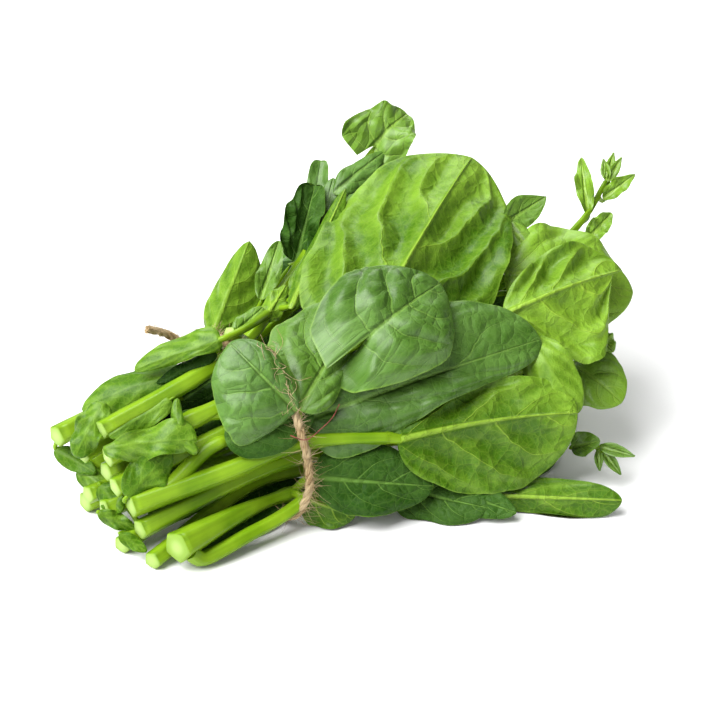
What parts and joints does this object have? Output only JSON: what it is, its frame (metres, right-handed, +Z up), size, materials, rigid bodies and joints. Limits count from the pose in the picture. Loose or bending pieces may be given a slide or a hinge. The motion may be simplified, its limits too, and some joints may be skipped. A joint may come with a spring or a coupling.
{
  "type": "spinach bunch",
  "caption": "Bunch of vine spinach lying on its side: leafy shoots with thick cut stems and broad egg-shaped leaves, tied round the stems with jute twine.",
  "frame": {"origin": "Bottom centre of the bounding box, on the surface that the bunch lies on", "axes": "+X from the cut stem ends to the leaf tips, +Y across the bunch away from the shown side, +Z up"},
  "size_m": [0.2668, 0.1993, 0.1157],
  "materials": {
    "greens": "satin leaf and smooth stem",
    "twine": "rough jute"
  },
  "bodies": {
    "root": {"shoot_01": "greens", "shoot_02": "greens", "shoot_03": "greens", "shoot_04": "greens", "shoot_05": "greens", "shoot_06": "greens", "shoot_07": "greens", "shoot_08": "greens", "shoot_09": "greens", "shoot_10": "greens", "shoot_11": "greens", "shoot_12": "greens", "shoot_13": "greens", "shoot_14": "greens", "shoot_15": "greens", "shoot_16": "greens", "twine": "twine"}
  },
  "joints": []
}
